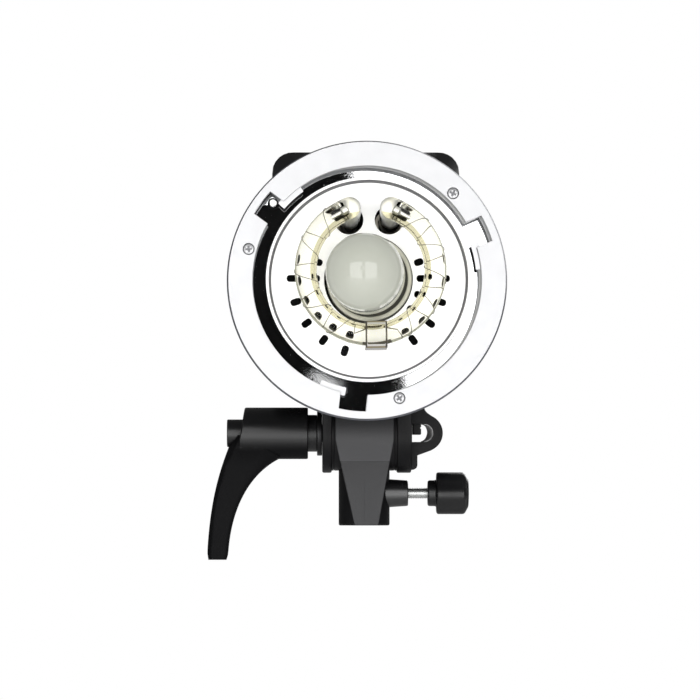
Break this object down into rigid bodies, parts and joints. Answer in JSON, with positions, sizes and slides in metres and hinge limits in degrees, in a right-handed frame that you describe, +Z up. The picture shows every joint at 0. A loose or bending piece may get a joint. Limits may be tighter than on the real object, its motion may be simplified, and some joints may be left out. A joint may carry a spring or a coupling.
{
  "type": "monolight strobe",
  "caption": "Studio flash head with a bayonet front, ring flash tube round a modelling lamp, box housing with rear controls, and a tilting stand bracket with clamping lever and umbrella holder.",
  "frame": {"origin": "centre of the stand socket's mouth", "axes": "+Z up along the socket, -Y the way the light faces, +X to the right of the light seen from the front"},
  "size_m": [0.1326, 0.2746, 0.1824],
  "materials": {
    "black_plastic": "fine matt texture",
    "charcoal_plastic": "satin, glass-filled",
    "silver_metal": "satin",
    "mirror_metal": "mirror bright",
    "white_enamel": "white enamel",
    "clear_glass": "clear, faintly yellow",
    "frosted_glass": "frosted",
    "ceramic": "unglazed ceramic",
    "steel": "zinc plated",
    "brass": "plain",
    "circuit_board": "lacquered laminate",
    "smoked_lens": "smoked gloss",
    "red_lens": "translucent red",
    "grey_key": "soft matt"
  },
  "bodies": {
    "bracket": {"stand_bracket": "charcoal_plastic"},
    "stand_screw": {"clamp_screw": "steel"},
    "stand_knob": {"clamp_knob": "black_plastic"},
    "lever_hub": {"tilt_stud": "black_plastic", "lever_washer": "silver_metal", "lever_button": "black_plastic", "lever_spring": "steel"},
    "lever": {"tilt_lever": "black_plastic"},
    "release": {"release_slider": "black_plastic", "lock_pin": "steel"},
    "jaw": {"umbrella_jaw": "black_plastic"},
    "fan": {"fan_rotor": "black_plastic"},
    "dial": {"power_dial": "black_plastic"},
    "rocker": {"power_switch": "black_plastic"},
    "lamp_key": {"lamp_key": "grey_key"},
    "sound_key": {"sound_key": "grey_key"},
    "slave_key": {"slave_key": "grey_key"},
    "test_key": {"test_key": "grey_key"},
    "fuse": {"fuse_cap": "black_plastic"},
    "head": {"rear_panel": "charcoal_plastic", "tilt_yoke": "black_plastic", "front_collar": "black_plastic", "upper_cover": "black_plastic", "lower_cover": "black_plastic", "bulkhead": "black_plastic", "fan_frame": "black_plastic", "switch_frame": "black_plastic", "mains_inlet": "black_plastic", "bayonet_bezel": "silver_metal", "bayonet_plate": "mirror_metal", "lamp_plate": "white_enamel", "flash_tube": "clear_glass", "modelling_lamp": "frosted_glass", "lamp_holder": "ceramic", "tube_socket_left": "ceramic", "tube_socket_right": "ceramic", "tilt_nut": "steel", "friction_washer_left": "steel", "friction_washer_right": "steel", "bezel_screw_1": "steel", "bezel_screw_2": "steel", "bezel_screw_3": "steel", "lock_spring": "steel", "tube_electrode_left": "steel", "tube_electrode_right": "steel", "tube_clip": "steel", "trigger_wire": "steel", "panel_screw_1": "steel", "panel_screw_2": "steel", "panel_screw_3": "steel", "panel_screw_4": "steel", "sync_jack": "steel", "lamp_cap": "brass", "charging_coil": "brass", "power_board": "circuit_board", "control_board": "circuit_board", "display_window": "smoked_lens", "capacitor_left": "smoked_lens", "capacitor_right": "smoked_lens", "slave_sensor": "red_lens"}
  },
  "joints": [
    {"name": "head_tilt", "type": "hinge", "parent": "bracket", "child": "head", "pos_m": [0, 0, 0.042], "axis": [1, 0, 0], "range_deg": [-80, 70]},
    {"name": "stand_screw", "type": "slide", "parent": "bracket", "child": "stand_screw", "axis": [1, 0, 0], "range_m": [-0.00302, 0.00402]},
    {"name": "stand_knob", "type": "hinge", "parent": "stand_screw", "child": "stand_knob", "pos_m": [0.035, 0, 0.0147], "axis": [1, 0, 0], "range_deg": [-1350, 1800]},
    {"name": "lever_turn", "type": "hinge", "parent": "head", "child": "lever_hub", "pos_m": [-0.03, 0, 0.042], "axis": [1, 0, 0], "range_deg": [-90, 90]},
    {"name": "lever_lift", "type": "slide", "parent": "lever_hub", "child": "lever", "axis": [-1, 0, 0], "range_m": [0, 0.004], "stiffness_N_per_m": 600, "springref_m": -0.002, "deforming": ["lever_spring"]},
    {"name": "bayonet_release", "type": "slide", "parent": "head", "child": "release", "axis": [0, 1, 0], "range_m": [0, 0.004], "stiffness_N_per_m": 500, "springref_m": -0.002, "deforming": ["lock_spring"]},
    {"name": "umbrella_jaw", "type": "slide", "parent": "head", "child": "jaw", "axis": [0, 0, 1], "range_m": [0, 0.0045], "stiffness_N_per_m": 300, "springref_m": -0.002},
    {"name": "fan_spin", "type": "hinge", "parent": "head", "child": "fan", "pos_m": [0, -0.0367, 0.1142], "axis": [0, 1, 0], "continuous": true},
    {"name": "dial_turn", "type": "hinge", "parent": "head", "child": "dial", "pos_m": [0, 0.1276, 0.105], "axis": [0, 1, 0], "continuous": true},
    {"name": "power_rocker", "type": "hinge", "parent": "head", "child": "rocker", "pos_m": [0.022, 0.1276, 0.078], "axis": [1, 0, 0], "range_deg": [0, 16]},
    {"name": "fuse_turn", "type": "hinge", "parent": "head", "child": "fuse", "pos_m": [-0.029, 0.1276, 0.103], "axis": [0, 1, 0], "range_deg": [-90, 0]},
    {"name": "lamp_key", "type": "slide", "parent": "head", "child": "lamp_key", "axis": [0, -1, 0], "range_m": [0, 0.001], "stiffness_N_per_m": 800, "springref_m": -0.0005},
    {"name": "sound_key", "type": "slide", "parent": "head", "child": "sound_key", "axis": [0, -1, 0], "range_m": [0, 0.001], "stiffness_N_per_m": 800, "springref_m": -0.0005},
    {"name": "slave_key", "type": "slide", "parent": "head", "child": "slave_key", "axis": [0, -1, 0], "range_m": [0, 0.001], "stiffness_N_per_m": 800, "springref_m": -0.0005},
    {"name": "test_key", "type": "slide", "parent": "head", "child": "test_key", "axis": [0, -1, 0], "range_m": [0, 0.001], "stiffness_N_per_m": 800, "springref_m": -0.0005}
  ],
  "couplings": [
    {"joint": "stand_screw", "follows": "stand_knob", "m_per_rad": 0.00012732}
  ]
}
